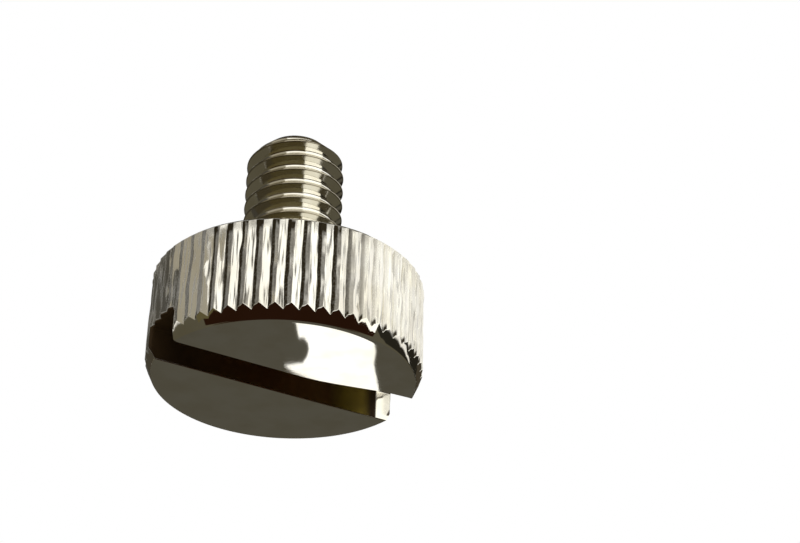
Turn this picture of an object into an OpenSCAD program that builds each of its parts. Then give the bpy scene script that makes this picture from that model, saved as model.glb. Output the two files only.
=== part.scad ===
// Slotted screw with a straight-knurled round head and a short threaded shank.
// It stands on its slotted face, with the shank along +Z and the slot along X.

/* [Head] */
// Head diameter over the knurl's crests
head_d = 16; // [10:0.1:30]
// Head height, from the slotted face to the underside
head_h = 6.4; // [4:0.1:12]
// Chamfer round the slotted face, measured across the radius
face_chamfer_r = 0.45; // [0.1:0.05:1.5]
// Chamfer round the slotted face, measured along the axis
face_chamfer_h = 0.85; // [0.1:0.05:2]
// Chamfer round the underside, the same both ways
rear_chamfer = 0.35; // [0.1:0.05:1]

/* [Knurl] */
// Number of straight teeth round the head
knurl_teeth = 57; // [24:1:90]
// Depth of the grooves between the teeth
knurl_depth = 0.2; // [0.1:0.02:0.6]
// Angle between a groove's longer side and the radius through its bottom
knurl_slope_a = 66; // [30:1:68]
// Angle between a groove's steeper side and that radius
knurl_steep_a = 56; // [30:1:68]
// Angle round the axis where the first groove lies
knurl_start_a = 2.46; // [0:0.02:6]

/* [Slot] */
// Width of the driver slot
slot_w = 2.4; // [0.8:0.1:4]
// Depth of the driver slot
slot_depth = 1.9; // [0.6:0.1:4]

/* [Shank] */
// Nominal thread diameter, which is also the plain neck's
thread_d = 6; // [3:0.5:12]
// Thread pitch
thread_pitch = 1; // [0.5:0.05:1.75]
// Shank length, from the underside of the head to the tip
shank_l = 9.6; // [6:0.1:40]
// Length of the plain neck between the head and the thread
neck_l = 1.6; // [0.6:0.1:4]
// How far the thread's crests lie below the nominal radius
crest_allowance = 0.03; // [0.01:0.01:0.12]
// Chamfer at the tip, measured across the radius
tip_chamfer_r = 1.2; // [0.2:0.05:2]
// Chamfer at the tip, measured along the axis
tip_chamfer_h = 1.15; // [0.2:0.05:2]
// Angle round the axis where the thread starts
thread_start_a = 15; // [0:1:359]

/* [Quality] */
// Flat sides that stand for one turn of the thread
thread_sides = 48; // [24:4:72]

/* [Hidden] */
$fn = 144;
head_r = head_d / 2;
neck_r = thread_d / 2;
head_top = head_h;
neck_top = head_h + neck_l;
tip_z = head_h + shank_l;
crest_r = neck_r - crest_allowance;
// Sixty-degree thread form: crest flat an eighth and root flat a quarter of the pitch
crest_w = thread_pitch / 8;
root_w = thread_pitch / 4;
flank_w = (thread_pitch - crest_w - root_w) / 2;
thread_depth = flank_w / tan(30);
root_r = crest_r - thread_depth;
// Cutting tools reach past the surfaces they cut by this much
over = 0.4;
// The neck runs out over a 45-degree cone that ends below the thread's root
runout_r = root_r - over;
runout_h = neck_r - runout_r;
thread_from = neck_top - 1.2 * thread_pitch;
thread_turns = ceil((tip_z + over - thread_from) / thread_pitch) + 1;
thread_steps = thread_turns * thread_sides;
// One turn of the thread form as [height, radius], from the root's upper end
form = [
    [0, root_r],
    [flank_w, crest_r],
    [flank_w + crest_w, crest_r],
    [2 * flank_w + crest_w, root_r]
];
knurl_slope_w = (knurl_depth + over) * tan(knurl_slope_a);
knurl_steep_w = (knurl_depth + over) * tan(knurl_steep_a);

// Ring that cuts the chamfer round the slotted face
module face_chamfer_cut() {
    rise = face_chamfer_h / face_chamfer_r;
    inner = head_r - face_chamfer_r;
    rotate_extrude()
        polygon([
            [inner - over / rise, -over],
            [head_r + over, face_chamfer_h + over * rise],
            [head_r + over, -over]
        ]);
}

// Ring that cuts the chamfer round the underside
module rear_chamfer_cut() {
    inner = head_r - rear_chamfer;
    rotate_extrude()
        polygon([
            [inner - over, head_top + over],
            [head_r + over, head_top + over],
            [head_r + over, head_top - rear_chamfer - over]
        ]);
}

// Section of the knurled rim: a disc with a leaning V groove between each two teeth
module knurl_section() {
    rotate(knurl_start_a)
        difference() {
            circle(r = head_r);
            for (i = [0 : knurl_teeth - 1])
                rotate(i * 360 / knurl_teeth)
                    polygon([
                        [head_r - knurl_depth, 0],
                        [head_r + over, knurl_steep_w],
                        [head_r + over, -knurl_slope_w]
                    ]);
        }
}

// Driver slot right across the face
module slot_cut() {
    translate([-head_r - over, -slot_w / 2, -over])
        cube([head_d + 2 * over, slot_w, slot_depth + over]);
}

module head() {
    difference() {
        linear_extrude(height = head_h) knurl_section();
        face_chamfer_cut();
        rear_chamfer_cut();
        slot_cut();
    }
}

// Plain neck with its run-out cone, rooted in the head
module neck() {
    rotate_extrude()
        polygon([
            [0, head_top - over],
            [neck_r, head_top - over],
            [neck_r, neck_top],
            [runout_r, neck_top + runout_h],
            [0, neck_top + runout_h]
        ]);
}

// Point of the thread at one step round the helix and one corner of its form
function thread_point(m, q) =
    let (a = 360 * m / thread_sides)
    [
        form[q][1] * cos(a),
        form[q][1] * sin(a),
        thread_from + thread_pitch * m / thread_sides + form[q][0]
    ];

// Right-hand thread as one closed solid from inside the neck to past the tip
module thread_blank() {
    corners = len(form);
    last = corners - 1;
    points = concat(
        [for (m = [0 : thread_steps]) for (q = [0 : last]) thread_point(m, q)],
        [[0, 0, thread_from - over]],
        [[0, 0, thread_from + (thread_turns + 1) * thread_pitch + over]]
    );
    low = len(points) - 2;
    high = len(points) - 1;
    sides = [
        for (m = [0 : thread_steps - 1])
            for (q = [0 : last - 1])
                let (a = m * corners + q, b = a + corners)
                for (face = [[a, a + 1, b + 1], [a, b + 1, b]]) face
    ];
    roots = [
        for (m = [0 : thread_steps - thread_sides - 1])
            let (
                a = m * corners + last,
                b = a + corners,
                c = (m + thread_sides) * corners,
                d = c + corners
            )
            for (face = [[a, c, d], [a, d, b]]) face
    ];
    start_loop = concat(
        [for (m = [0 : thread_sides]) m * corners],
        [for (q = [last : -1 : 1]) q]
    );
    end_first = thread_steps - thread_sides;
    end_loop = concat(
        [for (m = [end_first : thread_steps]) m * corners + last],
        [for (q = [last - 1 : -1 : 0]) thread_steps * corners + q]
    );
    start_cap = [
        for (i = [0 : len(start_loop) - 1])
            [low, start_loop[i], start_loop[(i + 1) % len(start_loop)]]
    ];
    end_cap = [
        for (i = [0 : len(end_loop) - 1])
            [high, end_loop[(i + 1) % len(end_loop)], end_loop[i]]
    ];
    polyhedron(points = points, faces = concat(sides, roots, start_cap, end_cap), convexity = 12);
}

// What is cut away beyond the tip and round its chamfer
module tip_cut() {
    fall = tip_chamfer_h / tip_chamfer_r;
    beyond = tip_z + (thread_turns + 2) * thread_pitch;
    rotate_extrude()
        polygon([
            [0, tip_z],
            [crest_r - tip_chamfer_r, tip_z],
            [crest_r + over, tip_z - tip_chamfer_h - over * fall],
            [crest_r + over, beyond],
            [0, beyond]
        ]);
}

module thread() {
    difference() {
        rotate(thread_start_a) thread_blank();
        tip_cut();
    }
}

module screw() {
    color([0.78, 0.75, 0.68]) {
        head();
        neck();
        thread();
    }
}

screw();
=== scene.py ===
import bmesh
import bpy
import math
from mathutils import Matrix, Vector


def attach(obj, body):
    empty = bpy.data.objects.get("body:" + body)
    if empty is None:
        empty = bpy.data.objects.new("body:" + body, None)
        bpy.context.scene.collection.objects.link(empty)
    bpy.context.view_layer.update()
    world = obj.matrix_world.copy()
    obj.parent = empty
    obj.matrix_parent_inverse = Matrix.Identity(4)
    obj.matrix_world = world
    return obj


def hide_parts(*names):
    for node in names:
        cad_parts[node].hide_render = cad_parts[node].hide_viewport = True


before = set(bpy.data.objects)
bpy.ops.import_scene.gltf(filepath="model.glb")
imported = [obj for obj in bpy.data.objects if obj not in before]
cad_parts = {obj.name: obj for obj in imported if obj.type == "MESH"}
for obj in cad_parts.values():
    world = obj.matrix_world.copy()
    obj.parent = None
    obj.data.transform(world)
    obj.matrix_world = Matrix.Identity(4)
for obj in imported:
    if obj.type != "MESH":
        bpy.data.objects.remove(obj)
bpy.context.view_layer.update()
mm = 0.001
near = 1e-6  # points this close together, in metres, share a place
scene = bpy.context.scene
scene.view_settings.view_transform = "Standard"

# the view: looking up at the slotted face, from in front and a little to the left
view = {
    "place": (-40.759 * mm, -84.031 * mm, -46.912 * mm),
    "turn": (120.3215, -1.0486, -30.5132),  # degrees
    "lens": 81.6,
    "sensor": 36,
    "clip": (1 * mm, 20),
}
viewTurn = [math.radians(angle) for angle in view["turn"]]
viewBearing = math.atan2(view["place"][1], view["place"][0])
bpy.ops.object.select_all(action="DESELECT")
bpy.ops.object.camera_add(location=view["place"], rotation=viewTurn)
camera = bpy.context.object
camera.name = "camera"
camera.data.lens = view["lens"]
camera.data.sensor_width = view["sensor"]
camera.data.clip_start = view["clip"][0]
camera.data.clip_end = view["clip"][1]
scene.camera = camera
print("camera set")


# small handles on selecting, extruding and cutting

def startEdit():
    bpy.ops.object.mode_set(mode="EDIT")
    bpy.ops.mesh.select_mode(type="VERT")


def endEdit():
    bpy.ops.object.mode_set(mode="OBJECT")


def makeActive(piece):
    bpy.ops.object.select_all(action="DESELECT")
    piece.select_set(True)
    bpy.context.view_layer.objects.active = piece


def pickAll():
    bpy.ops.mesh.select_all(action="SELECT")


def pickPoints(test):
    data = bpy.context.object.data
    mesh = bmesh.from_edit_mesh(data)
    mesh.select_mode = {"VERT"}
    for point in mesh.verts:
        point.select = bool(test(point.co))
    mesh.select_flush_mode()
    bmesh.update_edit_mesh(data)


def atHeight(height):
    return lambda co: abs(co.z - height) < near


def faceOut():
    pickAll()
    bpy.ops.mesh.normals_make_consistent(inside=False)


def move(x, y, z):
    bpy.ops.transform.translate(value=(x, y, z))


def scale(x, y, z):
    bpy.ops.transform.resize(value=(x, y, z), center_override=(0, 0, 0))


def extrudeUp(rise):
    bpy.ops.mesh.extrude_region_move(TRANSFORM_OT_translate={"value": (0, 0, rise)})


# carries the picked ring on through plain round rings, each a radius and a height
def drawRings(at, rings):
    for ring in rings:
        extrudeUp(ring[1] - at[1])
        shrink = ring[0] / at[0]
        scale(shrink, shrink, 1)
        at = ring


def stepsOf(points):
    return [b - a for a, b in zip(points, points[1:])]


# a line of points, each extruded from the one before, left in edit mode
def drawLine(name, start, steps):
    bpy.ops.object.select_all(action="DESELECT")
    bpy.ops.mesh.primitive_plane_add(size=1 * mm, location=(0, 0, 0))
    line = bpy.context.object
    line.name = name
    startEdit()
    pickAll()
    bpy.ops.mesh.merge(type="CENTER")
    pickAll()
    bpy.ops.transform.translate(value=start)
    for step in steps:
        bpy.ops.mesh.extrude_vertices_move(TRANSFORM_OT_translate={"value": step})
    return line


def cutWith(piece, tool, operation):
    makeActive(piece)
    cut = piece.modifiers.new("cut", "BOOLEAN")
    cut.operation = operation
    cut.solver = "EXACT"
    cut.object = tool
    bpy.ops.object.modifier_apply(modifier=cut.name)
    bpy.data.objects.remove(tool, do_unlink=True)


# head: one toothed ring drawn up and down into the rim, then turned in over the two ends
headSpec = {
    "radius": 8.0 * mm,
    "height": 6.4 * mm,
    "teeth": 57,
    "firstTooth": 2.46,  # degrees round the axis
    "toothEnds": 7.78 * mm,  # all tooth ends lie outside this radius
    "faceChamferIn": 0.40 * mm,
    "faceChamferUp": 0.85 * mm,
    "faceRound": 0.15 * mm,
    "faceRoundSteps": 4,
    "faceHold": 0.25 * mm,  # a ring this far in keeps the face's shading flat
    "rearChamfer": 0.35 * mm,
    "rearEaseIn": 0.05 * mm,
    "rearEaseDown": 0.02 * mm,
    "rearHold": 0.20 * mm,
    "rimLow": 1.15 * mm,
    "rimHigh": 5.90 * mm,
    "rimRows": 16,
    "ripple": 0.17 * mm,  # how uneven the rolled teeth are
    "rippleSize": (0.9 * mm, 0.9 * mm, 2.0 * mm),
    "smoothBelow": 32,  # degrees, edges that bend more stay crisp
}
toothSpec = {
    # from groove to groove: share of the pitch and depth below the peak in mm
    "outline": ((0, 0.17), (0.13, 0.08), (0.36, 0.04), (0.46, 0), (1, 0.17)),
    "steps": 24,
    "ease": 0.018,
}
neckSpec = {
    "radius": 3.0 * mm,
    "top": 8.0 * mm,
    "topHold": 0.06 * mm,
    "coneRadius": 2.0287 * mm,
    "coneTop": 8.9713 * mm,
    "fillet": 0.15 * mm,
    "filletMid": 0.3,  # share of the fillet at its middle
    "filletHold": 0.2 * mm,
}


def sharpDepth(part):
    part = part % 1
    outline = toothSpec["outline"]
    for (start, deep), (end, deepNext) in zip(outline, outline[1:]):
        if part <= end:
            return (deep + (deepNext - deep) * (part - start) / (end - start)) * mm


# the mean of three places close together rounds the corners
def toothDepth(part):
    ease = toothSpec["ease"]
    return (sharpDepth(part - ease) + sharpDepth(part) + sharpDepth(part + ease)) / 3


def makeHead():
    perTooth = toothSpec["steps"]
    count = headSpec["teeth"] * perTooth
    radius = headSpec["radius"]
    toothRadii = [radius - toothDepth(step / perTooth) for step in range(perTooth)]
    offset = math.radians(headSpec["firstTooth"])
    parking = 40 * mm  # new rings wait this far apart, clear of all other points

    def toothStep(co):
        return round((math.atan2(co.y, co.x) - offset) / math.tau * count) % perTooth

    # pulls every step of the tooth to its own radius and height
    def settle(height, fromRadii, toRadii, toHeights):
        for step in range(perTooth):
            pickPoints(lambda co: abs(co.z - height) < near and toothStep(co) == step)
            shrink = toRadii[step] / fromRadii[step]
            scale(shrink, shrink, 1)
            move(0, 0, toHeights[step] - height)

    # draws toothed rings off the picked one, parks them and then settles each in its place
    def drawToothed(height, side, rings):
        for place in range(len(rings)):
            parked = side * parking * (place + 1)
            extrudeUp(parked - height)
            height = parked
        for place, (radii, heights) in enumerate(rings):
            settle(side * parking * (place + 1), toothRadii, radii, heights)

    bpy.ops.object.select_all(action="DESELECT")
    low = headSpec["rimLow"]
    high = headSpec["rimHigh"]
    bpy.ops.mesh.primitive_circle_add(vertices=count, radius=radius, location=(0, 0, 0))
    head = bpy.context.object
    head.name = "screwHead"
    startEdit()
    pickAll()
    bpy.ops.transform.rotate(value=-offset, orient_axis="Z", center_override=(0, 0, 0))
    move(0, 0, low)
    settle(low, [radius] * perTooth, toothRadii, [low] * perTooth)

    # rim, row by row
    pickPoints(atHeight(low))
    for row in range(headSpec["rimRows"]):
        extrudeUp((high - low) / headSpec["rimRows"])

    # rear end: tooth ends on the small chamfer, then the underside, the neck and its run-out
    rear = headSpec["rearChamfer"]
    top = headSpec["height"]
    ends = [top - rear + (radius - r) for r in toothRadii]
    ring = (radius - rear, top - headSpec["rearEaseDown"])
    drawToothed(high, 1, (
        (toothRadii, ends),
        ([ring[0]] * perTooth, [ring[1]] * perTooth),
    ))
    neck = neckSpec["radius"]
    fillet = neckSpec["fillet"]
    filletMid = fillet * neckSpec["filletMid"]
    pickPoints(atHeight(ring[1]))
    drawRings(ring, (
        (ring[0] - headSpec["rearEaseIn"], top),
        (ring[0] - headSpec["rearHold"], top),
        (neck + fillet + neckSpec["filletHold"], top),
        (neck + fillet, top),
        (neck + filletMid, top + filletMid),
        (neck, top + fillet),
        (neck, neckSpec["top"] - neckSpec["topHold"]),
        (neck, neckSpec["top"]),
        (neckSpec["coneRadius"], neckSpec["coneTop"]),
    ))
    bpy.ops.mesh.edge_face_add()

    # slotted end: tooth ends on the long chamfer, a rounded edge and the flat face
    across = headSpec["faceChamferIn"]
    along = headSpec["faceChamferUp"]
    inner = radius - across
    lean = math.atan2(across, along)
    bend = headSpec["faceRound"]
    bendSteps = headSpec["faceRoundSteps"]
    flatEdge = inner - bend * math.tan(math.pi / 4 - lean / 2)
    arc = [-lean - (math.pi / 2 - lean) * step / bendSteps for step in range(bendSteps + 1)]
    edge = [(flatEdge + bend * math.cos(a), bend + bend * math.sin(a)) for a in arc]
    ends = [along * (r - inner) / across for r in toothRadii]
    pickPoints(atHeight(low))
    drawToothed(low, -1, (
        (toothRadii, ends),
        ([edge[0][0]] * perTooth, [edge[0][1]] * perTooth),
    ))
    pickPoints(atHeight(edge[0][1]))
    drawRings(edge[0], (*edge[1:], (flatEdge - headSpec["faceHold"], 0)))
    bpy.ops.mesh.edge_face_add()
    faceOut()
    endEdit()

    # rolled teeth are never quite even: a cloud drawn out along the axis moves them a little
    bpy.ops.object.empty_add(location=(0, 0, 0))
    guide = bpy.context.object
    guide.scale = headSpec["rippleSize"]
    bpy.context.view_layer.update()
    cloud = bpy.data.textures.new("toothCloud", "CLOUDS")
    cloud.cloud_type = "COLOR"
    cloud.noise_scale = 1.0
    cloud.noise_depth = 1
    rim = head.vertex_groups.new(name="rim")
    margin = 0.01 * mm  # the first and last rows stay where they are
    rimPoints = [v.index for v in head.data.vertices if low + margin < v.co.z < high - margin]
    rim.add(rimPoints, 1.0, "REPLACE")
    makeActive(head)
    uneven = head.modifiers.new("uneven", "DISPLACE")
    uneven.texture = cloud
    uneven.texture_coords = "OBJECT"
    uneven.texture_coords_object = guide
    uneven.direction = "RGB_TO_XYZ"
    uneven.mid_level = 0.5
    uneven.strength = headSpec["ripple"]
    uneven.vertex_group = "rim"
    bpy.ops.object.modifier_apply(modifier=uneven.name)
    bpy.data.objects.remove(guide, do_unlink=True)
    return head


# slot: a block with eased lips, mouths that round out to the rim, small radii in its corners
# and one edge worn back towards one end
slotSpec = {
    "width": 2.4 * mm,
    "depth": 1.9 * mm,
    "blockLength": 20 * mm,
    "blockOver": 1 * mm,  # how far the block stands out of the face
    "blockSpread": 3,  # how much wider it ends, past the rim
    "lip": 0.06 * mm,
    "lipMid": (0.5, 0.35),  # shares of the lip's height and width at its bend
    "corner": 0.12 * mm,
    "cornerSteps": 3,
    # end, side, radius and reach of the arc where each wall turns out to the rim
    "mouths": (
        (1, 1, 0.20 * mm, 7.91 * mm),
        (-1, 1, 0.20 * mm, 7.91 * mm),
        (1, -1, 0.20 * mm, 7.91 * mm),
        (-1, -1, 0.60 * mm, 7.75 * mm),
    ),
    "mouthTurns": (0, 15, 30, 45, 60, 75),  # degrees round each arc
    "wearFrom": 0.5 * mm,
    "wearTo": 7.0 * mm,
    "wearWidth": 0.95 * mm,
    "wearSteps": 6,
}


def makeSlotCutter():
    length = slotSpec["blockLength"]
    over = slotSpec["blockOver"]
    depth = slotSpec["depth"]
    half = slotSpec["width"] / 2

    # the default threshold is wider than the smallest of these cuts
    def cutAt(place, normal):
        pickAll()
        bpy.ops.mesh.bisect(plane_co=place, plane_no=normal, threshold=near)

    bpy.ops.object.select_all(action="DESELECT")
    bpy.ops.mesh.primitive_cube_add(size=1, location=(0, 0, 0))
    cutter = bpy.context.object
    cutter.name = "slotCutter"
    startEdit()
    pickAll()
    scale(length, slotSpec["width"], depth + over)
    move(0, 0, (depth - over) / 2)

    # mouths: each wall follows an arc out to the rim, a wider one at one corner
    turns = [math.radians(turn) for turn in slotSpec["mouthTurns"]]
    cuts = [(end, reach + radius * (math.sin(turn) - 1))
            for end, side, radius, reach in slotSpec["mouths"] for turn in turns]
    for end, cut in cuts:
        cutAt((end * cut, 0, 0), (1, 0, 0))
    for end, side, radius, reach in slotSpec["mouths"]:
        for cut in {cut for cutEnd, cut in cuts if cutEnd == end}:
            past = max(0, 1 + (cut - reach) / radius)
            along = min(past, math.sin(turns[-1]))
            flare = radius * (1 - math.sqrt(1 - along * along) + past - along)
            pickPoints(lambda co: abs(co.x - end * cut) < near and co.y * side > 0)
            move(0, side * flare, 0)
    pickPoints(lambda co: abs(abs(co.x) - length / 2) < near)
    scale(1, slotSpec["blockSpread"], 1)

    # lips: a small flare at the face, and the worn wall leaning back from the floor
    lip = slotSpec["lip"]
    bendHeight = lip * slotSpec["lipMid"][0]
    bendWidth = lip * slotSpec["lipMid"][1]
    wearFrom = slotSpec["wearFrom"]
    wearTo = slotSpec["wearTo"]
    steps = slotSpec["wearSteps"]
    stations = [wearFrom + (wearTo - wearFrom) * step / steps for step in range(steps + 1)]
    for station in stations:
        cutAt((station, 0, 0), (1, 0, 0))
    for height in (0, bendHeight, lip):
        cutAt((0, 0, height), (0, 0, 1))
    for test, wider in ((lambda co: co.z < near, lip), (atHeight(bendHeight), bendWidth)):
        pickPoints(test)
        scale(1, 1 + wider / half, 1)
    for station in stations[1:]:
        part = (station - wearFrom) / (wearTo - wearFrom)
        worn = part * part * (3 - 2 * part)
        until = length if station == stations[-1] else station
        pickPoints(lambda co: co.z < lip + near and co.y < 0 and station - near < co.x < until + near)
        move(0, -slotSpec["wearWidth"] * worn, 0)

    # the two long edges of the floor
    bpy.ops.mesh.select_mode(type="EDGE")
    mesh = bmesh.from_edit_mesh(cutter.data)
    for edge in mesh.edges:
        a, b = (v.co for v in edge.verts)
        onFloor = abs(a.z - depth) < near and abs(b.z - depth) < near
        edge.select = onFloor and abs(a.x - b.x) > near
    bmesh.update_edit_mesh(cutter.data)
    bpy.ops.mesh.bevel(offset=slotSpec["corner"], segments=slotSpec["cornerSteps"], affect="EDGES")
    faceOut()
    endEdit()
    return cutter


# thread: one pitch of the form drawn point by point, wound up the shank and trimmed at the tip
threadSpec = {
    "pitch": 1.0 * mm,
    "start": 6.6333 * mm,
    "turns": 10,
    "steps": 96,
    "crest": 2.97 * mm,
    "crestFlat": 0.085 * mm,
    "rootFlat": 0.18 * mm,
    "flank": 37,  # degrees off square, as rolled and plated
    "crestRound": 0.030 * mm,  # with flatEdge, under half of crestFlat, or the form crosses itself
    "rootRound": 0.06 * mm,
    "flatEdge": 0.01 * mm,  # narrow flats beside the rounds keep the flanks flat
    "weld": 0.002 * mm,
    "tip": 16.0 * mm,
    "tipChamferIn": 1.2 * mm,
    "tipChamferUp": 1.15 * mm,
    # rings round the tip's edge: out from its radius and down from its end
    "tipEase": ((0.06 * mm, 0.0575 * mm), (-0.02 * mm, 0.012 * mm), (-0.10 * mm, 0)),
    "barRadius": 3.4 * mm,
    "barFoot": 4.0 * mm,
    "barSides": 192,
}


# radius and height from the middle of one root to the middle of the next, with eased corners
def threadForm():
    pitch = threadSpec["pitch"]
    run = (pitch - threadSpec["crestFlat"] - threadSpec["rootFlat"]) / 2
    crest = threadSpec["crest"]
    root = crest - run / math.tan(math.radians(threadSpec["flank"]))
    rootHalf = threadSpec["rootFlat"] / 2
    corners = [
        Vector((root, 0)),
        Vector((root, rootHalf)),
        Vector((crest, rootHalf + run)),
        Vector((crest, pitch - rootHalf - run)),
        Vector((root, pitch - rootHalf)),
        Vector((root, pitch)),
    ]
    form = [corners[0]]
    for before, corner, after in zip(corners, corners[1:], corners[2:]):
        atRoot = corner.x < (root + crest) / 2
        reach = threadSpec["rootRound" if atRoot else "crestRound"]
        backWay = (before - corner).normalized()
        onWay = (after - corner).normalized()
        form.append(corner + backWay * (reach + threadSpec["flatEdge"]))
        for part in (0, 0.25, 0.5, 0.75, 1):
            form.append(corner + (backWay * (1 - part) ** 2 + onWay * part ** 2) * reach)
        form.append(corner + onWay * (reach + threadSpec["flatEdge"]))
    return form + [corners[-1]]


# the tip's outline: a round bar with its end drawn in
def makeTipOutline():
    tip = threadSpec["tip"]
    bar = threadSpec["barRadius"]
    crest = threadSpec["crest"]
    fall = threadSpec["tipChamferUp"] / threadSpec["tipChamferIn"]
    shoulder = tip - threadSpec["tipChamferUp"] - (bar - crest) * fall
    tipRadius = crest - threadSpec["tipChamferIn"]
    half = 1 * mm
    sides = threadSpec["barSides"]
    bpy.ops.object.select_all(action="DESELECT")
    bpy.ops.mesh.primitive_cylinder_add(vertices=sides, radius=bar, depth=2 * half, location=(0, 0, 0))
    outline = bpy.context.object
    outline.name = "tipOutline"
    startEdit()
    for end, height in ((1, shoulder), (-1, threadSpec["barFoot"])):
        pickPoints(lambda co: co.z * end > 0)
        move(0, 0, height - end * half)
    pickPoints(atHeight(shoulder))
    drawRings((bar, shoulder), [(tipRadius + out, tip - down) for out, down in threadSpec["tipEase"]])
    faceOut()
    endEdit()
    return outline


def makeThread():
    form = threadForm()
    start = (form[0].x, 0, threadSpec["start"])
    thread = drawLine("screwThread", start, [(step.x, 0, step.y) for step in stepsOf(form)])
    endEdit()
    wind = thread.modifiers.new("wind", "SCREW")
    wind.axis = "Z"
    wind.angle = math.tau
    wind.screw_offset = threadSpec["pitch"]
    wind.iterations = threadSpec["turns"]
    wind.steps = threadSpec["steps"]
    wind.render_steps = threadSpec["steps"]
    bpy.ops.object.modifier_apply(modifier=wind.name)
    startEdit()
    pickAll()
    bpy.ops.mesh.remove_doubles(threshold=threadSpec["weld"])

    # both open ends are drawn in to the middle
    middle = threadSpec["start"] + (threadSpec["turns"] + 1) * threadSpec["pitch"] / 2
    for above in (False, True):
        bpy.ops.mesh.select_all(action="DESELECT")
        bpy.ops.mesh.select_mode(type="EDGE")
        bpy.ops.mesh.select_non_manifold()
        mesh = bmesh.from_edit_mesh(thread.data)
        for edge in mesh.edges:
            if edge.select and (edge.verts[0].co.z > middle) != above:
                edge.select_set(False)
        bmesh.update_edit_mesh(thread.data)
        bpy.ops.mesh.extrude_edges_move()
        bpy.ops.mesh.merge(type="CENTER")
    bpy.ops.mesh.select_mode(type="VERT")
    faceOut()
    endEdit()
    cutWith(thread, makeTipOutline(), "INTERSECT")
    return thread


screw = makeHead()
print("head made,", len(screw.data.vertices), "points")
cutWith(screw, makeSlotCutter(), "DIFFERENCE")
print("slot cut,", len(screw.data.vertices), "points")
thread = makeThread()
print("thread wound,", len(thread.data.vertices), "points")
cutWith(screw, thread, "UNION")
screw.name = "knurledScrew"
screw.data.name = "knurledScrew"
makeActive(screw)
startEdit()
pickAll()
bpy.ops.mesh.remove_doubles(threshold=near)
bpy.ops.mesh.normals_make_consistent(inside=False)
tilt = headSpec["faceChamferUp"] / headSpec["faceChamferIn"]
faceInner = headSpec["radius"] - headSpec["faceChamferIn"]
rearTop = headSpec["height"] - headSpec["rearChamfer"] + headSpec["radius"]


def onToothEnd(co):
    out = co.xy.length
    onFaceEnd = abs(co.z - tilt * (out - faceInner)) < 2 * near
    onRearEnd = abs(co.z - rearTop + out) < 2 * near
    return out > headSpec["toothEnds"] and (onFaceEnd or onRearEnd)


pickPoints(onToothEnd)
bpy.ops.mesh.mark_sharp()
endEdit()
smoothBelow = math.radians(headSpec["smoothBelow"])
bpy.ops.object.shade_smooth_by_angle(angle=smoothBelow, keep_sharp_edges=True)
print("screw joined,", len(screw.data.vertices), "points,", len(screw.data.polygons), "faces")


# node sums written as Python

class Wire:
    def __init__(self, sheet, socket):
        self.sheet = sheet
        self.socket = socket

    # another output of the same node
    def beside(self, name):
        return Wire(self.sheet, self.socket.node.outputs[name])

    def __add__(self, other):
        return self.sheet.maths("ADD", self, other)

    def __radd__(self, other):
        return self.sheet.maths("ADD", other, self)

    def __sub__(self, other):
        return self.sheet.maths("SUBTRACT", self, other)

    def __rsub__(self, other):
        return self.sheet.maths("SUBTRACT", other, self)

    def __mul__(self, other):
        return self.sheet.maths("MULTIPLY", self, other)

    def __rmul__(self, other):
        return self.sheet.maths("MULTIPLY", other, self)

    def __abs__(self):
        return self.sheet.maths("ABSOLUTE", self)


class NodeSheet:
    def __init__(self, owner):
        owner.use_nodes = True
        self.tree = owner.node_tree
        self.tree.nodes.clear()

    def add(self, kind, settings=None, sockets=None, out=0):
        node = self.tree.nodes.new(kind)
        for name, value in (settings or {}).items():
            setattr(node, name, value)
        for name, value in (sockets or {}).items():
            if isinstance(value, Wire):
                self.tree.links.new(value.socket, node.inputs[name])
            else:
                node.inputs[name].default_value = value
        if len(node.outputs) == 0:
            return node
        return Wire(self, node.outputs[out])

    def maths(self, operation, *values):
        return self.add("ShaderNodeMath", {"operation": operation}, dict(enumerate(values)))

    def noise(self, vector, size, detail):
        return self.add("ShaderNodeTexNoise", None, {"Vector": vector, "Scale": size, "Detail": detail})

    # 0 up to low, 1 from high on
    def ease(self, value, low, high):
        sockets = {"Value": value, "From Min": low, "From Max": high}
        return self.add("ShaderNodeMapRange", {"interpolation_type": "SMOOTHSTEP"}, sockets)

    # 1 between two such slopes
    def band(self, value, rise, fall):
        return self.ease(value, *rise) * (1 - self.ease(value, *fall))

    # 6 and 7 are the Mix node's colour sockets
    def blend(self, factor, first, second):
        sockets = {"Factor": factor, 6: first, 7: second}
        return self.add("ShaderNodeMix", {"data_type": "RGBA"}, sockets, out=2)


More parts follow.
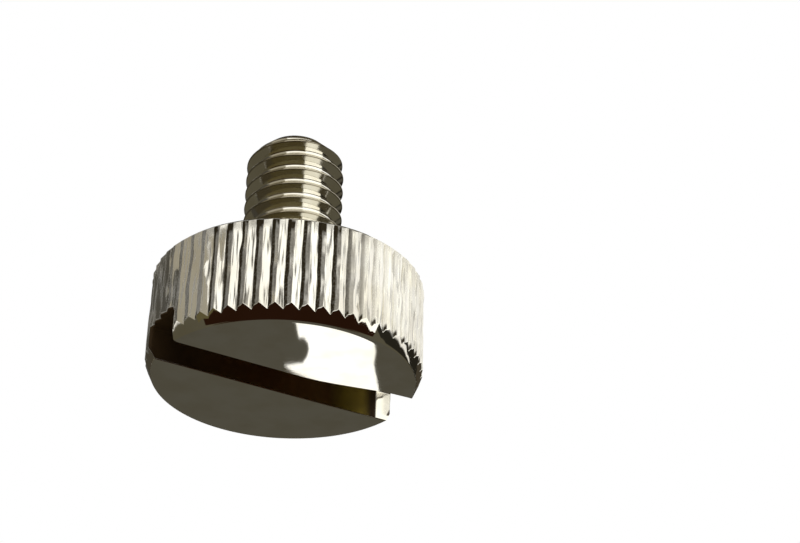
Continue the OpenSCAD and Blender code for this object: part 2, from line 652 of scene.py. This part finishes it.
# nickel plate: polished face, painted shade and grime in the knurl's grooves and the thread's roots, a
# rusty slot darkened with painted shade, turning rings on the underside and tip
nickelSpec = {
    "bright": (0.87, 0.85, 0.79, 1),
    "warm": (0.80, 0.765, 0.67, 1),
    "rubbed": (0.44, 0.40, 0.31, 1),  # crests of the thread
    "turned": (0.60, 0.58, 0.52, 1),  # underside and tip
    "shadeAndGrime": (0.024, 0.018, 0.008, 1),  # painted shade and grime: grooves of the knurl and roots of the thread
    "rust": (0.42, 0.22, 0.07, 1),  # middle of the slot
    "slotEndShade": (0.040, 0.023, 0.009, 1),  # painted shade, near black, towards its ends
    "oil": (0.34, 0.25, 0.042, 1),  # a patch near its worn end
    "roughness": 0.03,
    # limits in mm: heights from the slotted face
    "rimUp": ((0.32, 0.44), (6.1, 6.3)),
    "pastChamfer": (0.01, 0.06),
    "notchUp": (0.20, 0.55),
    "rearUp": (5.3, 6.0),
    "shankUp": (6.5, 6.7),
    "rootUp": (14.5, 14.85),
    "slotUp": ((0.01, 0.06), (1.95, 2.1)),
    "faceUp": (0.02, 0.06),
    "underUp": ((6.36, 6.39), (6.41, 6.45)),
    "tipUp": (15.95, 15.99),
    # distances from the axis
    "rimOut": (7.2, 7.6),
    "shankOut": (3.2, 3.6),
    "rootOut": (2.37, 2.46),
    "crestOut": (2.9, 2.95),
    # along and across the slot
    "slotWide": (1.21, 1.25),
    "slotMouth": (7.5, 8.0),
    "blackTo": (6.70, 6.85),
    "blackFrom": (7.66, 7.76),
    "rustAlong": (1.0, 6.4),
    "oilAlong": ((3.4, 4.8), (5.7, 6.5)),
    # where the painted shade and grime in the grooves fade: the side of the rim toward the bright window,
    # and beside one end of the slot
    "windowSideWay": (0.861, -0.508),
    "windowSide": (2.8, 5.8),
    "slotEnd": (6.7, 7.5),
    "slotEndSide": (0.3, 1.2),
    # shares of a tooth, from the groove on
    "grooveShift": 0.06,
    "grooveWobble": 0.24,
    "grooveLine": ((0.02, 0.06), (0.24, 0.31)),
    "ledge": ((0.24, 0.31), (0.50, 0.56)),
    # scale and detail of the noises, and the levels between which they show
    "toneNoise": (0.45, 3.0),
    "speckNoise": (9.0, 2.0),
    "wobbleNoise": (1.0, 2.0),
    "streakNoise": (1.0, 1.0),
    "hairNoise": (1.0, 2.0),
    "hairTurn": 0.6,
    "hairStretch": (26.0, 0.7, 3.0),
    "toneLevel": (0.35, 0.7),
    "ledgeLevel": (0.26, 0.54),
    "rearLevel": (0.35, 0.65),
    "smearLevel": (0.47, 0.71),
    "hairLevel": (0.6, 0.8),
}


def makeNickel():
    nickel = bpy.data.materials.new("nickelPlate")
    sheet = NodeSheet(nickel)
    spec = nickelSpec
    place = sheet.add("ShaderNodeTexCoord", out="Object")
    inMm = sheet.add("ShaderNodeVectorMath", {"operation": "SCALE"}, {"Vector": place, "Scale": 1 / mm})
    x = sheet.add("ShaderNodeSeparateXYZ", None, {"Vector": inMm})
    y = x.beside("Y")
    z = x.beside("Z")
    out = sheet.maths("SQRT", x * x + y * y)  # distance from the axis

    tone = sheet.noise(inMm, *spec["toneNoise"])
    speck = sheet.noise(inMm, *spec["speckNoise"])
    pastChamfer = z - (out - faceInner / mm) * tilt
    onRim = sheet.band(z, *spec["rimUp"]) * sheet.ease(pastChamfer, *spec["pastChamfer"])
    onRim = onRim * sheet.ease(out, *spec["rimOut"])

    # painted shade and grime: black in the grooves and the notches on the chamfer, grey in patches on the
    # teeth and towards the rear, fainter on the side toward the bright window and beside one end of the
    # slot
    teeth = headSpec["teeth"]
    around = sheet.maths("ARCTAN2", y, x) * (teeth / math.tau)
    rolled = sheet.add("ShaderNodeCombineXYZ", None, {"X": around, "Y": z * 0.55})
    wobble = sheet.noise(rolled, *spec["wobbleNoise"])
    drawn = sheet.add("ShaderNodeCombineXYZ", None, {"X": around * 7, "Y": z * 0.5})
    streak = sheet.noise(drawn, *spec["streakNoise"])
    shift = spec["grooveShift"] - headSpec["firstTooth"] * teeth / 360 + teeth
    part = sheet.maths("FRACT", around + shift + spec["grooveWobble"] * (wobble - 0.5))
    line = sheet.band(part, *spec["grooveLine"])
    ledge = sheet.band(part, *spec["ledge"]) * sheet.ease(wobble, *spec["ledgeLevel"])
    windowSide = sheet.ease(x * spec["windowSideWay"][0] + y * spec["windowSideWay"][1], *spec["windowSide"])
    slotEnd = sheet.ease(-1 * x, *spec["slotEnd"]) * (1 - sheet.ease(y, *spec["slotEndSide"]))
    shadeAndDirtLeft = (1 - 0.80 * windowSide) * (1 - 0.75 * slotEnd)
    smear = sheet.ease(streak, *spec["smearLevel"]) * (0.30 + 0.55 * shadeAndDirtLeft)
    rearEdge = sheet.ease(z, *spec["rearUp"]) * 0.5 * sheet.ease(wobble, *spec["rearLevel"])
    notch = line * (1 - sheet.ease(pastChamfer, *spec["notchUp"]))
    # painted shade with grime: groove lines, patches and rear edge, weaker on the window side, plus the
    # streaky smears of dirt
    shadeAndSoil = sheet.maths("MAXIMUM", (line + 0.75 * ledge + rearEdge) * shadeAndDirtLeft, smear)
    groove = onRim * sheet.maths("MAXIMUM", shadeAndSoil, notch)

    # painted shade and grime, grey in the thread's roots; rust and painted shade in the slot, black up to
    # a bright stretch at one end
    onShank = (1 - sheet.ease(out, *spec["shankOut"])) * sheet.ease(z, *spec["shankUp"])
    # painted shade and grime in the thread's roots
    root = onShank * (1 - sheet.ease(out, *spec["rootOut"])) * (1 - sheet.ease(z, *spec["rootUp"]))
    mouth = 0.5 * sheet.ease(abs(x), *spec["slotMouth"])
    inSlot = (1 - sheet.ease(abs(y) - mouth, *spec["slotWide"])) * sheet.band(z, *spec["slotUp"])
    # the slot darkened with rust and painted shade up to blackTo, and a line of painted shade at its far
    # mouth
    slotShadeAndRustMask = inSlot * (1 - sheet.ease(x, *spec["blackTo"]))
    slotShadeAndRustMask = slotShadeAndRustMask + 0.45 * inSlot * sheet.ease(x, *spec["blackFrom"])
    # painted shade and dirt together: the knurl's grooves, the thread's roots and the slot
    shadeAndDirt = sheet.maths("MAXIMUM", sheet.maths("MAXIMUM", groove, root * 0.4), slotShadeAndRustMask * 1.1)
    shadeAndDirt = sheet.maths("MINIMUM", shadeAndDirt * (0.78 + 0.44 * speck), 1.0)

    colour = sheet.blend(sheet.ease(tone, *spec["toneLevel"]), spec["bright"], spec["warm"])
    # rust in the slot's middle, painted shade near black towards its ends, and an oil patch
    slotShadeAndRustColour = sheet.blend(sheet.ease(abs(x), *spec["rustAlong"]), spec["rust"], spec["slotEndShade"])
    slotShadeAndRustColour = sheet.blend(sheet.band(x, *spec["oilAlong"]), slotShadeAndRustColour, spec["oil"])
    # the dark colour for painted shade and grime, with the slot's own rust and painted shade inside it
    shadeAndFilth = sheet.blend(inSlot, spec["shadeAndGrime"], slotShadeAndRustColour)
    colour = sheet.blend(onShank * sheet.ease(out, *spec["crestOut"]), colour, spec["rubbed"])
    colour = sheet.blend(shadeAndDirt, colour, shadeAndFilth)

    # the slotted face is polished, the underside and tip keep their turning rings
    face = 1 - sheet.ease(z, *spec["faceUp"])
    tipEnd = sheet.ease(z, *spec["tipUp"])
    turned = sheet.band(z, *spec["underUp"]) + tipEnd
    ringSockets = {"W": out, "Scale": 9.0, "Detail": 4.0}
    rings = sheet.add("ShaderNodeTexNoise", {"noise_dimensions": "1D"}, ringSockets)
    colour = sheet.blend(turned * (0.45 + 0.7 * rings), colour, spec["turned"])
    stretch = {"Vector": inMm, "Rotation": (0, 0, spec["hairTurn"]), "Scale": spec["hairStretch"]}
    hairline = sheet.noise(sheet.add("ShaderNodeMapping", None, stretch), *spec["hairNoise"])
    rough = spec["roughness"] + 0.02 * tone + 0.5 * shadeAndDirt
    rough = rough + 0.02 * sheet.ease(hairline, *spec["hairLevel"])
    rough = rough - 0.018 * face + 0.05 * onShank + 0.05 * onRim
    rough = rough + turned * (0.01 + 0.06 * rings) + 0.22 * tipEnd
    height = face * rings * 0.02 + (1 - 0.8 * face) * hairline * 0.04
    height = height + turned * rings * 0.06 + speck * onRim * 0.3
    bump = sheet.add("ShaderNodeBump", None, {"Strength": 0.05, "Distance": 0.05 * mm, "Height": height})
    shader = sheet.add("ShaderNodeBsdfPrincipled", None, {
        "Base Color": colour,
        "Metallic": 1.0 - 0.9 * shadeAndDirt,
        "Roughness": rough,
        "Specular IOR Level": 0.06,
        "Normal": bump,
    })
    sheet.add("ShaderNodeOutputMaterial", None, {"Surface": shader})
    return nickel


screw.data.materials.clear()
screw.data.materials.append(makeNickel())
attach(screw, "root")
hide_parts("screw")
print("nickel plate on")


# studio: pale floor, white surround, and walls and cards that only the metal sees

def cardShader(name, colour):
    material = bpy.data.materials.new(name)
    sheet = NodeSheet(material)
    glow = sheet.add("ShaderNodeEmission", None, {"Color": (*colour, 1), "Strength": 1.0})
    sheet.add("ShaderNodeOutputMaterial", None, {"Surface": glow})
    return material


def onlyForMetal(card, name, colour):
    card.name = name
    card.data.materials.append(cardShader(name, colour))
    card.visible_camera = False
    card.visible_diffuse = False
    card.visible_shadow = False
    card.visible_transmission = False
    card.visible_volume_scatter = False


# a direction from the screw: degrees to the right of the camera and degrees above the floor
def studioWay(turn, rise):
    bearing = viewBearing + math.radians(turn)
    level = math.cos(math.radians(rise))
    return Vector((level * math.cos(bearing), level * math.sin(bearing), math.sin(math.radians(rise))))


# a round tent: each panel covers a range of turn and a range of rise
tent = {"away": 1.0, "facet": 4}  # facets in degrees
panels = {
    "window": {"turn": (26, 76), "rise": (-16, 50), "colour": (1.40, 1.39, 1.30)},
    "windowTop": {"turn": (50, 92), "rise": (50, 80), "colour": (1.40, 1.39, 1.30)},
    "rightBand": {"turn": (76, 178), "rise": (23, 37), "colour": (1.14, 1.13, 1.09)},
    "rightLow": {"turn": (76, 180), "rise": (8, 23), "colour": (0.060, 0.050, 0.034)},
    "rightEdge": {"turn": (76, 165), "rise": (-14, 8), "colour": (0.020, 0.018, 0.013)},
    "rightStep": {"turn": (76, 92), "rise": (37, 50), "colour": (0.080, 0.068, 0.042)},
    "rightHigh": {"turn": (92, 180), "rise": (37, 88), "colour": (0.080, 0.068, 0.042)},
    "rightUnder": {"turn": (76, 165), "rise": (-60, -14), "colour": (0.095, 0.086, 0.058)},
    "frontLight": {"turn": (-28, 26), "rise": (5, 18), "colour": (0.55, 0.50, 0.38)},
    "frontWhite": {"turn": (-28, 26), "rise": (18, 42), "colour": (1.28, 1.26, 1.20)},
    "frontCream": {"turn": (-28, 26), "rise": (42, 50), "colour": (0.85, 0.80, 0.64)},
    "frontBeige": {"turn": (-75, -28), "rise": (5, 50), "colour": (0.37, 0.34, 0.27)},
    "frontLow": {"turn": (-75, 26), "rise": (-16, 5), "colour": (0.110, 0.092, 0.042)},
    "frontHigh": {"turn": (-75, 50), "rise": (50, 88), "colour": (0.090, 0.072, 0.030)},
    "leftWall": {"turn": (-180, -75), "rise": (-4, 18), "colour": (0.060, 0.052, 0.038)},
    "leftGrey": {"turn": (-180, -75), "rise": (18, 42), "colour": (0.080, 0.076, 0.066)},
    "leftHigh": {"turn": (-130, -75), "rise": (42, 88), "colour": (0.070, 0.058, 0.034)},
    "leftUnder": {"turn": (-165, -75), "rise": (-60, -4), "colour": (0.094, 0.084, 0.056)},
    "leftFoot": {"turn": (-75, -70), "rise": (-60, -16), "colour": (0.094, 0.084, 0.056)},
    "backWindow": {"turn": (-172, -130), "rise": (42, 80), "colour": (1.0, 0.99, 0.95)},
    "farHigh": {"turn": (-180, -172), "rise": (42, 88), "colour": (0.060, 0.050, 0.034)},
}


# an upright arc drawn point by point, then spun round the screw
def makePanel(name, spec):
    low, high = spec["rise"]
    first, last = spec["turn"]
    rows = max(2, round((high - low) / tent["facet"]))
    columns = max(2, round((last - first) / tent["facet"]))
    arc = [studioWay(first, low + (high - low) * row / rows) * tent["away"] for row in range(rows + 1)]
    panel = drawLine(name, arc[0], stepsOf(arc))
    pickAll()
    sweep = math.radians(last - first)
    bpy.ops.mesh.spin(steps=columns, angle=sweep, center=(0, 0, 0), axis=(0, 0, -1))
    endEdit()
    onlyForMetal(panel, name, spec["colour"])


for name, spec in panels.items():
    makePanel(name, spec)
print("tent up,", len(panels), "panels")

# the face looks down at a grey table on the far side, with a bright pane in front of it
tableSpec = {"turn": 180, "rise": -27, "away": 0.5, "size": (0.75, 0.42), "colour": (0.086, 0.080, 0.062)}
paneSpec = {
    "away": 0.35,
    "colour": (1.40, 1.39, 1.34),
    # millimetres across and up, as the mirror shows it
    "outline": (
        (1.6, -199), (3.5, -190), (5, -190), (6.1, -188.5), (6.5, -186.5), (6.1, -184.4), (5.0, -182.2),
        (-0.2, -181.2), (3, -179.0), (15, -173.5), (27, -170.5), (24.5, -183), (25, -187),
        (23.5, -194), (19, -199),
    ),
}


def makeTable():
    way = studioWay(tableSpec["turn"], tableSpec["rise"])
    bpy.ops.object.select_all(action="DESELECT")
    bpy.ops.mesh.primitive_plane_add(size=1, location=way * tableSpec["away"])
    table = bpy.context.object
    table.scale = (*tableSpec["size"], 1)
    table.rotation_euler = way.to_track_quat("Z", "Y").to_euler()
    onlyForMetal(table, "farTable", tableSpec["colour"])


def makePane():
    far = studioWay(180, 0) * paneSpec["away"]
    across = studioWay(90, 0)
    points = [far + across * a * mm + Vector((0, 0, b * mm)) for a, b in paneSpec["outline"]]
    pane = drawLine("brightPane", points[0], stepsOf(points))
    pickAll()
    bpy.ops.mesh.edge_face_add()
    endEdit()
    onlyForMetal(pane, "brightPane", paneSpec["colour"])


# the lower half of a ball, brown and nearly black, behind all of these
bowlSpec = {"radius": 1.2, "rim": -0.02, "sides": 48, "rows": 24, "colour": (0.020, 0.0075, 0.0035)}


def makeBowl():
    bpy.ops.object.select_all(action="DESELECT")
    bpy.ops.mesh.primitive_uv_sphere_add(
        segments=bowlSpec["sides"],
        ring_count=bowlSpec["rows"],
        radius=bowlSpec["radius"],
        location=(0, 0, 0),
    )
    bowl = bpy.context.object
    startEdit()
    pickAll()
    bpy.ops.mesh.bisect(plane_co=(0, 0, bowlSpec["rim"]), plane_no=(0, 0, 1), clear_outer=True)
    endEdit()
    onlyForMetal(bowl, "darkBowl", bowlSpec["colour"])


makeTable()
makePane()
makeBowl()

# floor: pale from above and see-through from below; the metal mirrors it between two distances
floorSpec = {
    "size": 1.6,
    "drop": 0.02 * mm,
    "colour": (0.80, 0.79, 0.77, 1),
    "mirrored": ((4.0, 7.0), (14.0, 18.0)),  # mm along the ray
}


def makeFloor():
    bpy.ops.object.select_all(action="DESELECT")
    bpy.ops.mesh.primitive_plane_add(size=floorSpec["size"], location=(0, 0, -floorSpec["drop"]))
    floor = bpy.context.object
    floor.name = "floor"
    pale = bpy.data.materials.new("paleFloor")
    sheet = NodeSheet(pale)
    fromBelow = sheet.add("ShaderNodeNewGeometry", out="Backfacing")
    metalRay = sheet.add("ShaderNodeLightPath", out="Is Glossy Ray")
    # the floor is clear to the metal's rays shorter than 4 mm, so beside the screw's foot the metal
    # mirrors the dark bowl: a painted contact shadow
    mirrored = sheet.band(metalRay.beside("Ray Length") * (1 / mm), *floorSpec["mirrored"])
    clear = sheet.maths("MAXIMUM", fromBelow, metalRay * (1 - mirrored))
    matte = sheet.add("ShaderNodeBsdfDiffuse", None, {"Color": floorSpec["colour"]})
    nothing = sheet.add("ShaderNodeBsdfTransparent")
    mixed = sheet.add("ShaderNodeMixShader", None, {0: clear, 1: matte, 2: nothing})
    sheet.add("ShaderNodeOutputMaterial", None, {"Surface": mixed})
    floor.data.materials.append(pale)


makeFloor()
print("floor and cards down")

# white where it is seen or mirrored, softer where it lights the screw
worldSpec = {"white": (1, 1, 1, 1), "soft": (1, 0.99, 0.97, 1), "softStrength": 0.55}


def makeWorld():
    world = bpy.data.worlds.new("whiteStudio")
    scene.world = world
    sheet = NodeSheet(world)
    cameraRay = sheet.add("ShaderNodeLightPath", out="Is Camera Ray")
    metalRay = cameraRay.beside("Is Glossy Ray")
    throughRay = cameraRay.beside("Is Transmission Ray")
    seen = sheet.maths("MAXIMUM", sheet.maths("MAXIMUM", cameraRay, metalRay), throughRay)
    white = sheet.add("ShaderNodeBackground", None, {"Color": worldSpec["white"], "Strength": 1.0})
    softLight = {"Color": worldSpec["soft"], "Strength": worldSpec["softStrength"]}
    soft = sheet.add("ShaderNodeBackground", None, softLight)
    mixed = sheet.add("ShaderNodeMixShader", None, {0: seen, 1: soft, 2: white})
    sheet.add("ShaderNodeOutputWorld", None, {"Surface": mixed})


makeWorld()

lamps = {
    "key": {"turn": 70, "rise": 42, "away": 0.5, "size": 0.30, "power": 2.2},
    "fill": {"turn": -60, "rise": 50, "away": 0.6, "size": 0.35, "power": 0.8},
}
for name, spec in lamps.items():
    way = studioWay(spec["turn"], spec["rise"])
    bpy.ops.object.select_all(action="DESELECT")
    bpy.ops.object.light_add(type="AREA", location=way * spec["away"])
    lamp = bpy.context.object
    lamp.name = name
    lamp.data.size = spec["size"]
    lamp.data.energy = spec["power"]
    lamp.rotation_euler = way.to_track_quat("Z", "Y").to_euler()
    lamp.visible_camera = False
    lamp.visible_glossy = False
print("studio set")

bpy.context.view_layer.update()
